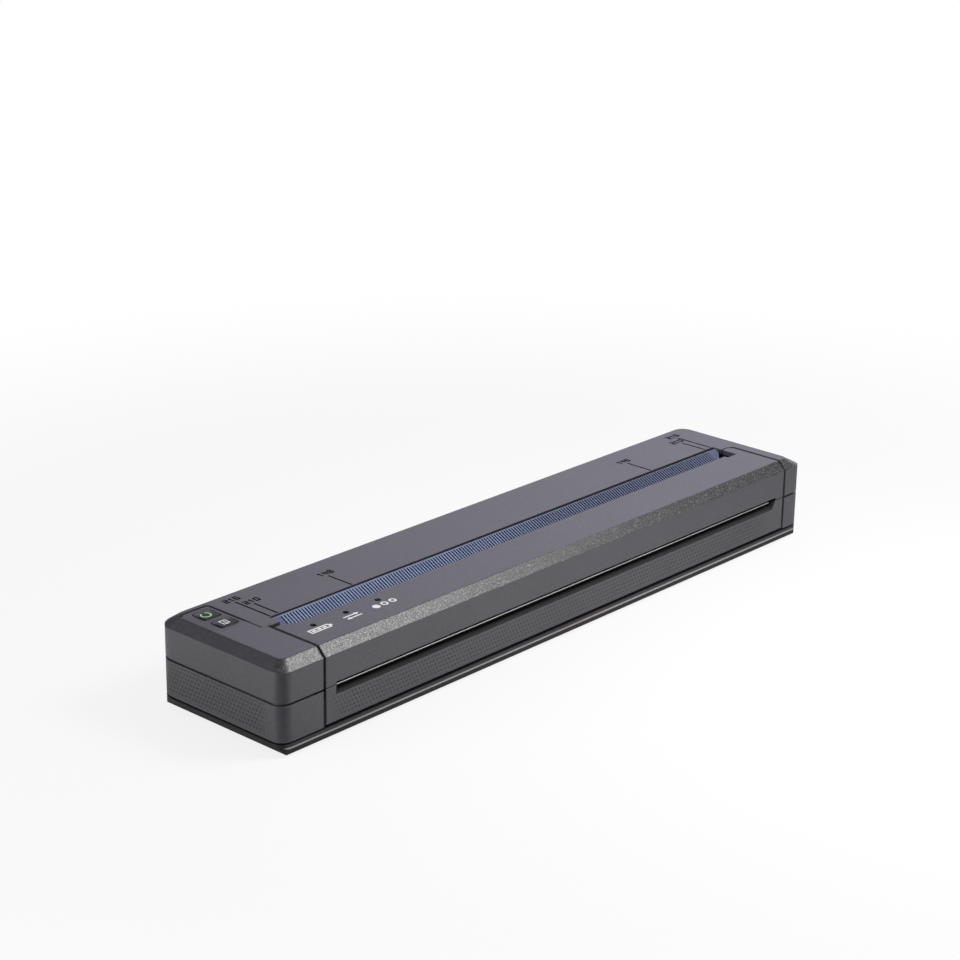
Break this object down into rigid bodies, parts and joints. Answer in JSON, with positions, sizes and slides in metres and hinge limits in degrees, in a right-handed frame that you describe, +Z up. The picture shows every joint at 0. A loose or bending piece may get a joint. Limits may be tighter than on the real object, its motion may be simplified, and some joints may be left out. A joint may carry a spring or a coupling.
{
  "type": "portable thermal printer",
  "caption": "Slim bar-shaped thermal printer: hinged front cover with paper exit, ribbed paper ramp, geared platen over a heated print head, press keys and a rear battery door.",
  "frame": {"origin": "middle of the rubber feet's contact plane, under the centre of the housing", "axes": "+X along the length towards the socket end, +Y towards the rear battery door, +Z up; paper leaves at -Y"},
  "size_m": [0.255, 0.055, 0.0302],
  "materials": {
    "case_plastic": "fine grained charcoal moulding",
    "guide_plastic": "blue moulding with fine ribs",
    "frame_plastic": "plain black moulding",
    "steel": "brushed",
    "motor_steel": "zinc plated",
    "head_ceramic": "glazed",
    "board_resin": "gloss resin",
    "heat_sink": "extruded",
    "cable_plastic": "flat cable",
    "connector_plastic": "plain black",
    "circuit_board": "green solder mask",
    "chip_plastic": "plain black",
    "socket_metal": "tin plated",
    "battery_wrap": "satin wrap",
    "contact_brass": "bright",
    "foot_rubber": "soft matt",
    "light_pipe": "smoked clear",
    "key_plastic": "gloss black",
    "roller_rubber": "ground rubber",
    "gear_plastic": "natural acetal"
  },
  "bodies": {
    "body": {"base_cover": "case_plastic", "lower_case": "case_plastic", "upper_case": "case_plastic", "paper_guide": "guide_plastic", "main_frame": "frame_plastic", "platen_bushings": "frame_plastic", "idler_axle": "steel", "feed_motor": "motor_steel", "print_head": "head_ceramic", "head_driver_cover": "board_resin", "head_heat_sink": "heat_sink", "head_springs": "steel", "head_cable": "cable_plastic", "head_connector": "connector_plastic", "main_board": "circuit_board", "board_chips": "chip_plastic", "usb_socket": "socket_metal", "dc_jack": "connector_plastic", "control_board": "circuit_board", "control_switches": "connector_plastic", "battery_pack": "battery_wrap", "battery_contacts": "contact_brass", "paper_sensor": "chip_plastic", "rubber_feet": "foot_rubber"},
    "cover": {"release_cover": "case_plastic", "front_panel": "case_plastic", "tear_bar": "steel", "light_pipes": "light_pipe", "status_board": "circuit_board", "status_leds": "light_pipe", "cover_hinge_pins": "steel"},
    "door": {"battery_door": "case_plastic", "battery_door_pins": "steel"},
    "power_key": {"power_button": "key_plastic"},
    "feed_key": {"feed_button": "key_plastic"},
    "platen": {"platen_roller": "roller_rubber", "platen_shaft": "steel", "platen_gear": "gear_plastic"},
    "idler": {"idler_gear": "gear_plastic"},
    "rotor": {"motor_shaft": "steel", "motor_pinion": "contact_brass"}
  },
  "joints": [
    {"name": "cover_hinge", "type": "hinge", "parent": "body", "child": "cover", "pos_m": [0, -0.0256, 0.0067], "axis": [1, 0, 0], "range_deg": [0, 80]},
    {"name": "door_hinge", "type": "hinge", "parent": "body", "child": "door", "pos_m": [0, 0.0256, 0.0085], "axis": [-1, 0, 0], "range_deg": [0, 95]},
    {"name": "power_press", "type": "slide", "parent": "body", "child": "power_key", "axis": [0, 0, -1], "range_m": [0, 0.0005], "stiffness_N_per_m": 400, "springref_m": -0.0005},
    {"name": "feed_press", "type": "slide", "parent": "body", "child": "feed_key", "axis": [0, 0, -1], "range_m": [0, 0.0005], "stiffness_N_per_m": 400, "springref_m": -0.0005},
    {"name": "platen_spin", "type": "hinge", "parent": "body", "child": "platen", "pos_m": [0, -0.017, 0.0226], "axis": [1, 0, 0], "continuous": true},
    {"name": "idler_spin", "type": "hinge", "parent": "body", "child": "idler", "pos_m": [0, -0.0101, 0.01469], "axis": [1, 0, 0], "continuous": true},
    {"name": "rotor_spin", "type": "hinge", "parent": "body", "child": "rotor", "pos_m": [0, -0.00154, 0.0119], "axis": [1, 0, 0], "continuous": true}
  ],
  "couplings": [
    {"joint": "idler_spin", "follows": "platen_spin", "ratio": -0.75},
    {"joint": "rotor_spin", "follows": "platen_spin", "ratio": 1.5}
  ]
}
